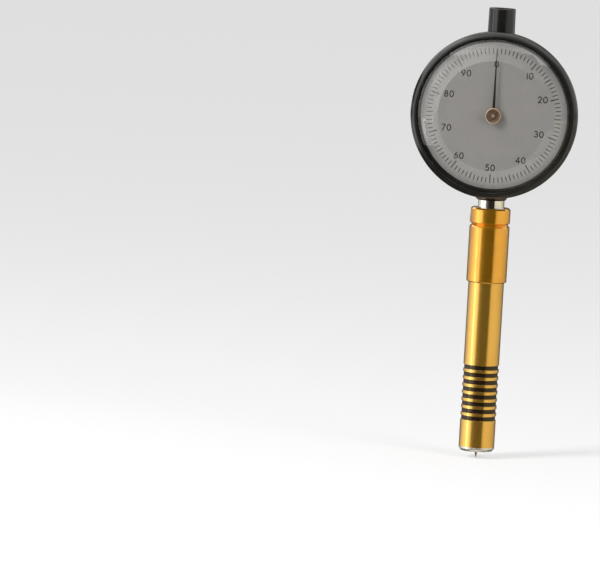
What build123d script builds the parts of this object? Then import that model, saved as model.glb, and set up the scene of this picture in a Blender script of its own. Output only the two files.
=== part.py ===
from build123d import *
import math
import os

os.makedirs("parts", exist_ok=True)

# Dial durometer with a slim round barrel, in millimetres.
# The origin is the centre of the presser foot's face. +Z runs up the barrel to the dial head,
# the dial looks along -Y, and +X is on the right of someone who reads the dial.

# Fits, all radial
RUN = 0.04  # a piece that slides or turns in another
SEAT = 0.02  # a piece that is screwed or pressed into another
FREE = 0.30  # a piece that passes another without touching it

# Barrel and its grip grooves
barrel_d = 12.70
barrel_bore_d = 9.40
land_length = 9.66  # plain barrel between the foot's ring and the first groove
groove_count = 8
groove_pitch = 2.60
groove_width = 1.55
groove_depth = 0.50
band_thickness = 0.20  # black enamel ring at the bottom of each groove
smooth_length = 29.61  # plain barrel between the last groove and the collar
spigot_d = 11.50  # barrel's threaded end inside the collar
spigot_length = 12.00

# Presser foot and indenter
foot_ring = 1.50
foot_face_d = 11.20
foot_chamfer = 0.90
foot_hole_d = 3.00
foot_hole_length = 2.00
foot_plug = 7.50  # threaded plug above the ring
foot_bush_d = 5.80
indenter_d = 1.25
indenter_reach = 2.50  # below the foot's face with no load
indenter_cone_deg = 30.0
indenter_tip_r = 0.10
indenter_socket = 5.40
nose_d = 4.00
nose_lift = 0.60  # from the foot's inner shoulder to the end of the nose
travel = 2.50

# Plunger, calibrated spring and its adjuster
flange_thickness = 1.60
pilot_length = 2.00
rod_d = 3.00
rod_socket = 3.00
rod_standout = 5.90  # push rod above the barrel's end
rod_bush_length = 8.00
spring_wire_d = 1.40
spring_gap = 0.50  # from the barrel's bore to the coils
spring_length = 18.00
spring_pitch = 2.40
washer_thickness = 1.00
adjuster_length = 7.00
lock_ring_length = 3.00
slot_width = 1.60
slot_depth = 1.20

# Collar
collar_d = 14.29
collar_length = 26.50
collar_groove_width = 1.60
collar_groove_deg = 90.0  # between the two sides of the groove
collar_groove_drop = 6.00  # from the collar's top to the middle of the groove
collar_chamfer = 0.30
collar_top_chamfer = 0.55
set_screw_d = 2.50
set_screw_drop = 10.20
set_screw_sink = 0.25
set_screw_hex = 1.30

# Stem and spindle
stem_d = 9.525
stem_bore_d = 6.40
stem_in_collar = 12.00
stem_shown = 2.75
stem_wall = 0.50  # case metal left between the stem's top and the bore
spindle_d = 4.76
contact_d = 4.00
contact_head = 2.50
contact_shank_d = 2.20
contact_shank = 4.00
contact_round = 0.38
spindle_edge = 0.38
lower_bushing_length = 11.00

# Case, stepped down from the bezel; walls and steps are radial
bezel_d = 59.20
bezel_over_case = 2.60
case_step = 1.40  # from the case's outside to the nose inside the bezel
nose_wall = 2.00
ledge_width = 2.40  # ledge that carries the movement
case_rear = 5.60  # behind the stem's axis
case_edge = 0.50
nose_edge = 0.20
boss_d = 11.00
boss_standout = 1.00  # stem boss below the bezel
top_boss_d = 10.80
top_boss_standout = 0.20  # cap's seat above the case
nipple_d = 7.80
nipple_length = 4.00
upper_bushing_d = 5.90
cover_thickness = 2.20
cover_inset = 0.30
cover_edge = 1.00
cover_spigot = 0.70
cover_screw_d = 1.80
cover_screw_head_d = 3.40
cover_screw_head = 1.00
cover_screw_depth = 5.00
cover_screw_count = 4
cover_screw_inset = 0.15  # from the middle of the case's wall, radial
screw_slot_share = 0.18  # width of a screw's slot as a share of its head

# Top cap
cap_base_d = 9.70
cap_top_d = 9.40
cap_length = 10.30
cap_roof = 1.40
cap_edge = 0.35

# Movement plates, pillars and screws
plate_gap = 0.52  # from the spindle to the rear plate
plate_thickness = 1.00
plate_spacing = 2.50
front_plate_margin = 3.60  # radial, from the case's front bore
pillar_d = 2.60
pillar_inset = 3.50  # radial, from the front plate's edge
pillar_angles = (120.0, 165.0, 300.0, 345.0)
plate_screw_d = 1.20
plate_screw_head_d = 2.20
plate_screw_head = 0.55
movement_screw_d = 1.40
movement_screw_count = 3
movement_screw_depth = 4.00
window_d = 9.00
window_inset = 7.00  # radial, from the front plate's edge

# Wheel train
rack_pitch = 0.625
rack_flat = 0.58  # how far the rack's teeth are milled below the spindle's side
rack_reach_up = 3.50
rack_reach_down = 5.50
rack_pinion_teeth = 16
wheel_teeth = 80
centre_pinion_teeth = 20
wheel_module = 0.20
pressure_deg = 20.0
tooth_thinning = 0.030
tooth_depth = 1.25  # below the pitch line, in modules
rack_pinion_width = 3.00
tooth_root_flat = 0.02
wheel_thickness = 0.60
wheel_window_place = 0.55  # as a share of the wheel's radius
wheel_window_d = 4.00
wheel_window_count = 4
wheel_lift = 1.10  # from the rear plate to the wheels
centre_pinion_width = 1.40
arbor_d = 1.20
pivot_d = 0.70
pivot_bush_d = 2.00
collet_d = 2.40
collet_width = 0.45
hairspring_turns = 5
hairspring_pitch = 0.70
hairspring_strip = 0.14
hairspring_sides = 18  # straight sides in one turn
hairspring_width = 0.35
stud_d = 0.90

# Bridge behind the rack pinion, and the guide that keeps the spindle from turning
bridge_thickness = 0.80
bridge_gap = 0.40
bridge_pillar_d = 2.00
bridge_pillar_spread = 8.40
bridge_pillar_offset = 4.10
bridge_rim = 0.22  # bridge round its pillars and its bush
guide_pin_d = 1.50
guide_pin_rise = 4.00
guide_block_gap = 1.20
guide_block_width = 4.40
guide_block_margin = 3.20
guide_block_cheek = 1.00  # behind the pin's slot
guide_block_corner = 0.60

# Return spring that draws the spindle down
return_wire_d = 0.40
return_length = 12.40  # from the guide pin down to the stud
return_turns = 9
return_coil_deg = 30.0  # where the coil starts and ends
return_tail = 2.00  # from a pin to the coil
return_loop_deg = 320.0
return_loop_gap = 0.05  # from the pin to the spring's end loop
return_pin_end = 0.50  # pin and stud beyond the spring

# Dial, pointer, crystal and bezel
dial_gap = 1.00  # from the front plate to the dial
dial_thickness = 0.50
dial_margin = 3.90  # radial, from the bezel's outside to the dial's edge
dial_hole_d = 3.00
pointer_rise = 1.30
needle_thickness = 0.25
needle_length = 23.00
needle_root_width = 1.05
needle_tip_width = 0.22
needle_eye_d = 3.60
hub_d = 5.40
hub_thickness = 0.85
hub_dish_d = 4.30
hub_dish = 0.28
hub_edge = 0.10
hub_neck_d = 2.00
bezel_skirt = 2.40  # behind the dial's back
bezel_case_gap = 0.10
bezel_rim = 2.30  # from the bezel's outside to the crystal's opening
bezel_round = 2.10
bezel_rear_edge = 0.25
bezel_lip = 0.60
bezel_lip_edge = 0.15
crystal_seat = 0.10  # from the dial's face to the crystal's rim
crystal_thickness = 1.30
crystal_bite = 0.35  # rim of the crystal under the bezel's lip
crystal_shoulder = 7.80  # width of the sloping shoulder
crystal_crease_deg = 13.0  # slope where the shoulder leaves the flat middle
crystal_rim_deg = 38.0  # slope where it meets the bezel
ring_wire_d = 0.70
ring_gap_deg = 20.0

# Diameters and reaches that follow from the bezel's
case_d = bezel_d - 2 * bezel_over_case
nose_outer_d = case_d - 2 * case_step
case_front_bore_d = nose_outer_d - 2 * nose_wall
chamber_d = case_front_bore_d - 2 * ledge_width
front_plate_d = case_front_bore_d - 2 * front_plate_margin
pillar_circle_d = front_plate_d - 2 * pillar_inset
window_circle_d = front_plate_d - 2 * window_inset
dial_d = bezel_d - 2 * dial_margin
boss_reach = bezel_d / 2 + boss_standout
top_boss_reach = case_d / 2 + top_boss_standout

# Heights along the barrel
grooves_z = foot_ring + land_length
grooves_top_z = grooves_z + (groove_count - 1) * groove_pitch + groove_width
collar_z = grooves_top_z + smooth_length
collar_top_z = collar_z + collar_length
barrel_top_z = collar_z + spigot_length
foot_top_z = foot_ring + foot_plug
flange_top_z = foot_top_z + flange_thickness
spring_top_z = flange_top_z + spring_length
adjuster_z = spring_top_z + washer_thickness
adjuster_top_z = adjuster_z + adjuster_length
rod_top_z = barrel_top_z + rod_standout
spindle_z = rod_top_z + contact_head
stem_z = collar_top_z - stem_in_collar
boss_z = collar_top_z + stem_shown
head_z = boss_z + boss_reach
stem_top_z = head_z - case_front_bore_d / 2 - stem_wall
cap_z = head_z + top_boss_reach
cap_ceiling_z = cap_z + cap_length - cap_roof
spindle_top_z = cap_ceiling_z - travel - 2 * FREE

# Depths, all in front of the stem's axis and so negative
rear_plate_y = -(spindle_d / 2 + plate_gap)
rear_plate_front_y = rear_plate_y - plate_thickness
front_plate_y = rear_plate_front_y - plate_spacing
front_plate_front_y = front_plate_y - plate_thickness
dial_back_y = front_plate_front_y - dial_gap
dial_y = dial_back_y - dial_thickness
needle_y = dial_y - pointer_rise
needle_front_y = needle_y - needle_thickness
hub_front_y = needle_front_y - hub_thickness
crystal_y = dial_y - crystal_seat
crystal_rim_y = crystal_y - crystal_thickness
bezel_front_y = crystal_rim_y - bezel_lip
bezel_rear_y = dial_back_y + bezel_skirt
nose_y = dial_back_y + FREE
case_shoulder_y = bezel_rear_y + bezel_case_gap
wheel_y = rear_plate_front_y - wheel_lift
ring_y = (nose_y + case_shoulder_y) / 2

# Radii shared by several pieces
spring_r = barrel_bore_d / 2 - spring_gap - spring_wire_d / 2
flange_d = barrel_bore_d - 2 * spring_gap
pilot_d = 2 * (spring_r - spring_wire_d / 2 - FREE)
dial_recess_r = dial_d / 2 + FREE / 3
crystal_open_r = bezel_d / 2 - bezel_rim
crystal_r = crystal_open_r + crystal_bite
ring_r = nose_outer_d / 2
return_coil_r = guide_pin_d / 2 + return_loop_gap + return_wire_d / 2

# Places of the three arbors, seen from the front as (x, z) from the dial's centre
rack_module = rack_pitch / math.pi
rack_pinion_r = rack_module * rack_pinion_teeth / 2
rack_pitch_x = spindle_d / 2 - rack_flat - rack_module
arbor_reach = wheel_module * (wheel_teeth + centre_pinion_teeth) / 2
first_x = -(rack_pitch_x + rack_pinion_r)
first_dz = -math.sqrt(arbor_reach**2 - first_x**2)
first_arbor = (first_x, first_dz)
takeup_arbor = (-first_x, -first_dz)
mesh_deg = math.degrees(math.atan2(-first_dz, -first_x))


def lathe_z(points):
    """Piece turned about the barrel's axis from a closed outline of (radius, z) points."""
    return revolve(Plane.XZ * make_face(Polyline(*points, close=True)), Axis.Z)


def lathe_head(outline):
    """Piece turned about the dial's axis from a face whose x is the radius and y the depth."""
    return Pos(0, 0, head_z) * revolve(outline, Axis.Y)


def rings_head(points):
    """Piece turned about the dial's axis from a closed outline of (radius, depth) points."""
    return lathe_head(make_face(Polyline(*points, close=True)))


def tube_z(outer_d, inner_d, low_z, high_z):
    """Round tube about the barrel's axis."""
    ring = Circle(outer_d / 2) - Circle(inner_d / 2)
    return extrude(Pos(0, 0, low_z) * ring, high_z - low_z)


def bar_z(diameter, low_z, high_z):
    """Round bar on the barrel's axis."""
    return extrude(Pos(0, 0, low_z) * Circle(diameter / 2), high_z - low_z)


def slab(face, back_y, front_y):
    """Flat piece between two depths, from a face drawn as (x, z) about the dial's centre."""
    return extrude(Plane((0, back_y, head_z), x_dir=(1, 0, 0), z_dir=(0, -1, 0)) * face, back_y - front_y)


def bar_head(place, diameter, back_y, front_y):
    """Round bar along the dial's axis at (x, z) from the dial's centre."""
    return slab(Pos(*place) * Circle(diameter / 2), back_y, front_y)


def on_circle(diameter, angle_deg):
    """Point at an angle on a circle about the dial's centre, as (x, z)."""
    turn = math.radians(angle_deg)
    return (diameter / 2 * math.cos(turn), diameter / 2 * math.sin(turn))


def slotted_screw(place, shank_d, head_d, head, back_y, seat_y, front_y):
    """Cheese-head screw along the dial's axis: shank from back_y to seat_y, head on to front_y.

    The head lies on the side of front_y, so the screw may face either way.
    """
    low, high = sorted((back_y, seat_y))
    shank = bar_head(place, shank_d, high, low)
    low, high = sorted((seat_y, front_y))
    top = bar_head(place, head_d, high, low)
    cut_y = front_y + math.copysign(head / 2, seat_y - front_y)
    low, high = sorted((cut_y, front_y))
    slot = slab(Pos(*place) * Rectangle(2 * head_d, head_d * screw_slot_share), high, low)
    return shank + top - slot


def involute_turn(radius, base_r):
    """Angle that an involute has swept when it reaches a radius."""
    tangent = math.sqrt(max(radius**2 - base_r**2, 0.0)) / base_r
    return tangent - math.atan(tangent)


def gear_face(teeth, module, phase_deg):
    """Involute gear outline, one tooth centred at the phase angle."""
    pitch_r = module * teeth / 2
    base_r = pitch_r * math.cos(math.radians(pressure_deg))
    root_r = pitch_r - tooth_depth * module
    tip_r = pitch_r + module
    half_tooth = (math.pi * module / 2 - tooth_thinning) / (2 * pitch_r)
    flank_start_r = max(base_r, root_r + 0.1 * module)
    flank = [flank_start_r, (flank_start_r + tip_r) / 2, tip_r]
    half_angles = [half_tooth + involute_turn(pitch_r, base_r) - involute_turn(r, base_r) for r in flank]
    points = []
    for tooth in range(teeth):
        middle = math.radians(phase_deg) + 2 * math.pi * tooth / teeth
        left = [(root_r, half_angles[0] + tooth_root_flat / root_r)] + list(zip(flank, half_angles))
        for radius, half in left:
            points.append((radius * math.cos(middle - half), radius * math.sin(middle - half)))
        for radius, half in reversed(left):
            points.append((radius * math.cos(middle + half), radius * math.sin(middle + half)))
    return make_face(Polyline(*points, close=True))


# Barrel group


def make_presser_foot():
    hole_r = foot_hole_d / 2
    bush_r = foot_bush_d / 2 + SEAT
    plug_r = barrel_bore_d / 2 - SEAT
    return lathe_z(
        [
            (hole_r, 0),
            (foot_face_d / 2, 0),
            (barrel_d / 2, foot_chamfer),
            (barrel_d / 2, foot_ring),
            (plug_r, foot_ring),
            (plug_r, foot_top_z),
            (bush_r, foot_top_z),
            (bush_r, foot_hole_length),
            (hole_r, foot_hole_length),
        ]
    )


def make_foot_bush():
    return tube_z(foot_bush_d, nose_d + 2 * RUN, foot_hole_length, foot_top_z)


def make_indenter():
    """Hardened pin: a cone with a small round tip on a straight shank."""
    half_cone = math.radians(indenter_cone_deg / 2)
    shank_r = indenter_d / 2
    tip_z = -indenter_reach
    centre_z = tip_z + indenter_tip_r
    touch = (indenter_tip_r * math.cos(half_cone), centre_z - indenter_tip_r * math.sin(half_cone))
    bow = math.radians(45 + indenter_cone_deg / 4)
    middle = (indenter_tip_r * math.cos(bow), centre_z - indenter_tip_r * math.sin(bow))
    cone_top_z = touch[1] + (shank_r - touch[0]) / math.tan(half_cone)
    top_z = foot_hole_length + nose_lift + indenter_socket
    tip = ThreePointArc((0, tip_z), middle, touch)
    side = Polyline(touch, (shank_r, cone_top_z), (shank_r, top_z), (0, top_z), (0, tip_z))
    return revolve(Plane.XZ * make_face(tip + side), Axis.Z)


def make_indenter_holder():
    """Nose that slides in the foot, with the spring's flange and the socket of the push rod."""
    nose_z = foot_hole_length + nose_lift
    pilot_z = flange_top_z + pilot_length
    pin_r = indenter_d / 2 + SEAT
    rod_r = rod_d / 2 + SEAT
    return lathe_z(
        [
            (pin_r, nose_z),
            (nose_d / 2, nose_z),
            (nose_d / 2, foot_top_z),
            (flange_d / 2, foot_top_z),
            (flange_d / 2, flange_top_z),
            (pilot_d / 2, flange_top_z),
            (pilot_d / 2, pilot_z),
            (rod_r, pilot_z),
            (rod_r, pilot_z - rod_socket),
            (0, pilot_z - rod_socket),
            (0, nose_z + indenter_socket),
            (pin_r, nose_z + indenter_socket),
        ]
    )


def make_push_rod():
    return bar_z(rod_d, flange_top_z + pilot_length - rod_socket, rod_top_z)


def make_main_spring():
    """Calibrated compression spring between the flange and the washer."""
    wire_r = spring_wire_d / 2
    rise = spring_length - spring_wire_d
    path = Helix(pitch=spring_pitch, height=rise, radius=spring_r)
    start = path @ 0
    section = Plane(origin=start, z_dir=path % 0) * Circle(wire_r)
    return Pos(0, 0, flange_top_z + wire_r) * sweep(section, path=path)


def make_spring_washer():
    return tube_z(flange_d, rod_d + 2 * FREE, spring_top_z, adjuster_z)


def threaded_ring(low_z, length):
    """Plug in the barrel's threaded bore, with a screwdriver slot across its top."""
    ring = tube_z(barrel_bore_d - 2 * SEAT, rod_d + 2 * FREE, low_z, low_z + length)
    slot = Pos(0, 0, low_z + length - slot_depth / 2) * Box(barrel_bore_d, slot_width, slot_depth)
    return ring - slot


def make_rod_bush():
    return tube_z(
        barrel_bore_d - 2 * SEAT, rod_d + 2 * RUN, barrel_top_z - rod_bush_length, barrel_top_z
    )


def groove_low_z(number):
    """Lower edge of one grip groove."""
    return grooves_z + number * groove_pitch


def make_barrel():
    bore_r = barrel_bore_d / 2
    outer_r = barrel_d / 2
    floor_r = outer_r - groove_depth
    points = [(bore_r, foot_ring), (outer_r, foot_ring)]
    for number in range(groove_count):
        low_z = groove_low_z(number)
        high_z = low_z + groove_width
        points += [(outer_r, low_z), (floor_r, low_z), (floor_r, high_z), (outer_r, high_z)]
    spigot_r = spigot_d / 2
    points += [(outer_r, collar_z), (spigot_r, collar_z), (spigot_r, barrel_top_z), (bore_r, barrel_top_z)]
    return lathe_z(points)


def make_grip_bands():
    floor_d = barrel_d - 2 * groove_depth
    bands = [
        tube_z(floor_d + 2 * band_thickness, floor_d, groove_low_z(n), groove_low_z(n) + groove_width)
        for n in range(groove_count)
    ]
    return Compound(children=bands)


def make_collar():
    outer_r = collar_d / 2
    socket_r = spigot_d / 2 + SEAT
    bore_r = stem_d / 2 + SEAT
    groove_z = collar_top_z - collar_groove_drop
    half_groove = collar_groove_width / 2
    groove_r = outer_r - half_groove / math.tan(math.radians(collar_groove_deg / 2))
    body = lathe_z(
        [
            (socket_r, collar_z),
            (outer_r - collar_chamfer, collar_z),
            (outer_r, collar_z + collar_chamfer),
            (outer_r, groove_z - half_groove),
            (groove_r, groove_z),
            (outer_r, groove_z + half_groove),
            (outer_r, collar_top_z - collar_top_chamfer),
            (outer_r - collar_top_chamfer, collar_top_z),
            (bore_r + collar_chamfer, collar_top_z),
            (bore_r, collar_top_z - collar_chamfer),
            (bore_r, barrel_top_z),
            (socket_r, barrel_top_z),
        ]
    )
    hole = Plane((0, 0, collar_top_z - set_screw_drop), x_dir=(1, 0, 0), z_dir=(0, 1, 0))
    return body - extrude(hole * Circle(set_screw_d / 2 + SEAT), collar_d)


def make_collar_set_screw():
    """Headless screw at the back of the collar that bears on the stem."""
    start_y = stem_d / 2 + SEAT / 2
    end_y = collar_d / 2 - set_screw_sink
    place = Plane((0, start_y, collar_top_z - set_screw_drop), x_dir=(1, 0, 0), z_dir=(0, 1, 0))
    length = end_y - start_y
    screw = extrude(place * Circle(set_screw_d / 2), length)
    mouth = place.offset(length)
    socket = extrude(mouth * RegularPolygon(set_screw_hex / 2, 6), -length / 2)
    return screw - socket


# Spindle group


def make_stem():
    return tube_z(stem_d, stem_bore_d, stem_z, stem_top_z)


def make_lower_bushing():
    return tube_z(
        stem_bore_d - 2 * SEAT, spindle_d + 2 * RUN, stem_top_z - lower_bushing_length, stem_top_z
    )


def make_contact():
    """Hardened contact at the spindle's lower end, resting on the push rod."""
    head = bar_z(contact_d, rod_top_z, spindle_z)
    head = fillet(head.edges().group_by(Axis.Z)[0], contact_round)
    return head + bar_z(contact_shank_d, spindle_z, spindle_z + contact_shank)


def rack_teeth_face():
    """Area milled away beside the rack, drawn as (x, z) with z from the rack pinion's height."""
    tip_x = rack_pitch_x + rack_module
    root_x = rack_pitch_x - tooth_depth * rack_module
    lean = math.tan(math.radians(pressure_deg))
    half_pitch_tooth = rack_pitch / 4 - tooth_thinning / 2
    half_tip = half_pitch_tooth - rack_module * lean
    half_root = half_pitch_tooth + tooth_depth * rack_module * lean
    first = -math.floor(rack_reach_down / rack_pitch)
    last = math.floor(rack_reach_up / rack_pitch)
    edge = spindle_d
    points = [(edge, (first - 0.5) * rack_pitch), (root_x, (first - 0.5) * rack_pitch)]
    for tooth in range(first, last + 1):
        middle = tooth * rack_pitch
        points += [
            (root_x, middle - half_root),
            (tip_x, middle - half_tip),
            (tip_x, middle + half_tip),
            (root_x, middle + half_root),
        ]
    points += [(root_x, (last + 0.5) * rack_pitch), (edge, (last + 0.5) * rack_pitch)]
    return make_face(Polyline(*[(-x, z) for x, z in points], close=True))


def make_spindle():
    """Spindle with the rack on its left side and holes for the contact and the guide pin."""
    spindle = bar_z(spindle_d, spindle_z, spindle_top_z)
    spindle = chamfer(spindle.edges().group_by(Axis.Z)[-1], spindle_edge)
    spindle -= bar_z(contact_shank_d + 2 * SEAT, spindle_z, spindle_z + contact_shank + FREE)
    milled = slab(Pos(0, first_dz) * rack_teeth_face(), spindle_d, -spindle_d)
    pin_plane = Plane((0, 0, guide_pin_z), x_dir=(0, 1, 0), z_dir=(1, 0, 0))
    pin_hole = extrude(pin_plane * Circle(guide_pin_d / 2 + SEAT), spindle_d)
    return spindle - milled - pin_hole


guide_block_x = spindle_d / 2 + guide_block_gap
guide_block_end_x = guide_block_x + guide_block_width
guide_pin_z = head_z + guide_pin_rise
return_x = guide_block_end_x + FREE + return_coil_r + return_wire_d / 2
return_stud_z = guide_pin_z - return_length


def make_guide_pin():
    """Cross pin in the spindle: runs in the guide block and carries the return spring's upper loop."""
    end_x = return_x + return_wire_d / 2 + return_pin_end
    plane = Plane((SEAT, 0, guide_pin_z), x_dir=(0, 1, 0), z_dir=(1, 0, 0))
    return extrude(plane * Circle(guide_pin_d / 2), end_x - SEAT)


def make_return_spring():
    """Extension spring: a coil whose ends bend into straight tails and open loops round the two pins."""
    low_z = return_stud_z + return_tail
    high_z = guide_pin_z - return_tail
    coil = Helix(pitch=(high_z - low_z) / return_turns, height=high_z - low_z, radius=return_coil_r)
    coil = Pos(return_x, 0, low_z) * Rot(0, 0, return_coil_deg) * coil
    low_pin = Vector(return_x + return_coil_r, 0, return_stud_z)
    high_pin = Vector(return_x, return_coil_r, guide_pin_z)
    lift = Vector(0, 0, return_coil_r / 2)
    bend = return_coil_r / 3
    low_bend = Bezier(low_pin + lift, low_pin + 2 * lift, coil @ 0 - bend * (coil % 0), coil @ 0)
    high_bend = Bezier(coil @ 1, coil @ 1 + bend * (coil % 1), high_pin - 2 * lift, high_pin - lift)
    low_plane = Plane((return_x, 0, return_stud_z), x_dir=(1, 0, 0), z_dir=(0, -1, 0))
    high_plane = Plane((return_x, 0, guide_pin_z), x_dir=(0, 1, 0), z_dir=(1, 0, 0))
    path = [
        low_plane * CenterArc((0, 0), return_coil_r, 0, -return_loop_deg),
        Line(low_pin, low_pin + lift),
        low_bend,
        coil,
        high_bend,
        Line(high_pin - lift, high_pin),
        high_plane * CenterArc((0, 0), return_coil_r, 0, return_loop_deg),
    ]
    wire = Wire([edge for part in path for edge in part.edges()])
    return sweep(Plane(origin=wire @ 0, z_dir=wire % 0) * Circle(return_wire_d / 2), path=wire)


def make_return_stud():
    """Stud on the rear plate that holds the return spring's lower loop."""
    back_y = return_wire_d / 2 + return_pin_end
    return bar_head((return_x, return_stud_z - head_z), guide_pin_d, back_y, rear_plate_y)


def guide_screw_places():
    """The two screws of the guide block, as (x, z) from the dial's centre."""
    middle_x = guide_block_x + guide_block_width / 2
    reach = travel / 2 + guide_pin_d / 2 + guide_block_margin / 2 + FREE
    middle_z = guide_pin_rise + travel / 2
    return [(middle_x, middle_z - reach), (middle_x, middle_z + reach)]


guide_block_back_y = guide_pin_d / 2 + guide_block_cheek


def make_guide_block():
    """Block on the rear plate whose slot holds the guide pin, so that the spindle can't turn."""
    slot_half = guide_pin_d / 2 + RUN
    low = guide_pin_rise - guide_pin_d / 2 - FREE
    high = guide_pin_rise + travel + guide_pin_d / 2 + FREE
    middle_x = guide_block_x + guide_block_width / 2
    height = high - low + 2 * guide_block_margin
    middle = Pos(middle_x, (low + high) / 2)
    outline = middle * RectangleRounded(guide_block_width, height, guide_block_corner)
    block = slab(outline, guide_block_back_y, rear_plate_y)
    slot = middle * Rectangle(2 * guide_block_width, high - low)
    block -= slab(slot, slot_half, -slot_half)
    for place in guide_screw_places():
        block -= bar_head(place, plate_screw_d + 2 * SEAT, guide_block_back_y, rear_plate_y)
    return block


# Case group


def make_case():
    """Case with the bezel's nose in front, the stem boss below and the cap's nipple on top."""
    body = rings_head(
        [
            (case_front_bore_d / 2, nose_y),
            (nose_outer_d / 2 - nose_edge, nose_y),
            (nose_outer_d / 2, nose_y + nose_edge),
            (nose_outer_d / 2, case_shoulder_y),
            (case_d / 2 - case_edge, case_shoulder_y),
            (case_d / 2, case_shoulder_y + case_edge),
            (case_d / 2, case_rear),
            (chamber_d / 2, case_rear),
            (chamber_d / 2, rear_plate_y),
            (case_front_bore_d / 2, rear_plate_y),
        ]
    )
    hollow = bar_head((0, 0), chamber_d, case_rear, rear_plate_y)
    hollow += bar_head((0, 0), case_front_bore_d, rear_plate_y, nose_y)
    boss = bar_z(boss_d, boss_z, head_z)
    boss = chamfer(boss.edges().group_by(Axis.Z)[0], case_edge)
    top = bar_z(top_boss_d, head_z, cap_z) + bar_z(nipple_d, cap_z, cap_z + nipple_length)
    bosses = boss + top - hollow
    bosses -= bar_head((0, 0), 3 * boss_reach, case_rear + boss_d, case_rear)
    bosses -= bar_head((0, 0), 3 * boss_reach, case_shoulder_y, case_shoulder_y - boss_d)
    body += bosses
    body -= bar_z(stem_d + 2 * SEAT, boss_z, stem_top_z)
    body -= bar_z(spindle_d + 2 * FREE, stem_top_z, head_z)
    body -= bar_z(upper_bushing_d + 2 * SEAT, head_z, cap_z + nipple_length)
    groove_half = ring_wire_d / 2 + RUN
    body -= rings_head(
        [
            (ring_r - ring_wire_d / 2 - 2 * RUN, ring_y - groove_half),
            (ring_r + ring_wire_d, ring_y - groove_half),
            (ring_r + ring_wire_d, ring_y + groove_half),
            (ring_r - ring_wire_d / 2 - 2 * RUN, ring_y + groove_half),
        ]
    )
    for place in cover_screw_places():
        body -= bar_head(place, cover_screw_d + 2 * SEAT, case_rear, case_rear - cover_screw_depth)
    for place in movement_screw_places():
        hole_end = rear_plate_y + movement_screw_depth
        body -= bar_head(place, movement_screw_d + 2 * SEAT, hole_end, rear_plate_y)
    return body


def make_upper_bushing():
    low_z = head_z + case_front_bore_d / 2 + FREE
    return tube_z(upper_bushing_d, spindle_d + 2 * RUN, low_z, cap_z + nipple_length)


def make_top_cap():
    """Cap over the spindle's upper end, slightly tapered, with a soft upper edge."""
    base_r = cap_base_d / 2
    top_r = cap_top_d / 2
    top_z = cap_z + cap_length
    bore_r = nipple_d / 2 + SEAT
    seat_z = cap_z + nipple_length
    outline = make_face(
        Polyline(
            (bore_r, cap_z),
            (base_r, cap_z),
            (top_r, top_z),
            (0, top_z),
            (0, cap_ceiling_z),
            (bore_r - 2 * FREE, cap_ceiling_z),
            (bore_r - 2 * FREE, seat_z + FREE),
            (bore_r, seat_z + FREE),
            close=True,
        )
    )
    corner = outline.vertices().sort_by_distance((top_r, top_z, 0))[0]
    return revolve(Plane.XZ * fillet(corner, cap_edge), Axis.Z)


def cover_screw_places():
    """Screws of the back cover, on the middle of the case's wall."""
    circle_d = (case_d + chamber_d) / 2 - 2 * cover_screw_inset
    step = 360.0 / cover_screw_count
    return [on_circle(circle_d, step / 2 + step * n) for n in range(cover_screw_count)]


def make_back_cover():
    """Flat cover with a rounded edge, a spigot in the case and four counterbored holes."""
    outer_r = case_d / 2 - cover_inset
    back_y = case_rear + cover_thickness
    spigot_r = chamber_d / 2 - SEAT
    outline = make_face(
        Polyline(
            (0, case_rear - cover_spigot),
            (spigot_r, case_rear - cover_spigot),
            (spigot_r, case_rear),
            (outer_r, case_rear),
            (outer_r, back_y),
            (0, back_y),
            close=True,
        )
    )
    corner = outline.vertices().sort_by_distance((outer_r, back_y, 0))[0]
    cover = lathe_head(fillet(corner, cover_edge))
    for place in cover_screw_places():
        cover -= bar_head(place, cover_screw_d + 2 * SEAT, back_y, case_rear)
        cover -= bar_head(place, cover_screw_head_d + 2 * SEAT, back_y, back_y - cover_screw_head)
    return cover


def make_cover_screws():
    back_y = case_rear + cover_thickness
    seat_y = back_y - cover_screw_head
    end_y = case_rear - cover_screw_depth + FREE
    return Compound(
        children=[
            slotted_screw(place, cover_screw_d, cover_screw_head_d, cover_screw_head, end_y, seat_y, back_y)
            for place in cover_screw_places()
        ]
    )


# Movement


def movement_screw_places():
    """Screws that hold the rear plate on the case's ledge."""
    circle_d = (chamber_d + case_front_bore_d) / 2
    step = 360.0 / movement_screw_count
    return [on_circle(circle_d, step * n) for n in range(movement_screw_count)]


def bridge_pillar_places():
    """Two pillars of the rack pinion's bridge."""
    x = first_x - bridge_pillar_offset
    return [(x, first_dz - bridge_pillar_spread / 2), (x, first_dz + bridge_pillar_spread / 2)]


def pillar_places():
    return [on_circle(pillar_circle_d, angle) for angle in pillar_angles]


def window_places():
    """Two round windows that both plates have, at three and at nine o'clock."""
    return [(side * window_circle_d / 2, side * window_circle_d / 4) for side in (-1, 1)]


def make_rear_plate():
    """Round plate on the case's ledge that carries the whole movement."""
    face = Circle(case_front_bore_d / 2 - 2 * SEAT)
    face -= Pos(return_x, return_stud_z - head_z) * Circle(guide_pin_d / 2 + SEAT)
    for place in movement_screw_places():
        face -= Pos(*place) * Circle(movement_screw_d / 2 + SEAT)
    for place in pillar_places() + bridge_pillar_places() + guide_screw_places():
        face -= Pos(*place) * Circle(plate_screw_d / 2 + SEAT)
    for place in (first_arbor, takeup_arbor, (0, 0)):
        face -= Pos(*place) * Circle(pivot_bush_d / 2 + SEAT)
    for place in window_places():
        face -= Pos(*place) * Circle(window_d / 2)
    face -= Pos(*stud_place()) * Circle(stud_d / 2 + SEAT)
    return slab(face, rear_plate_y, rear_plate_front_y)


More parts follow.
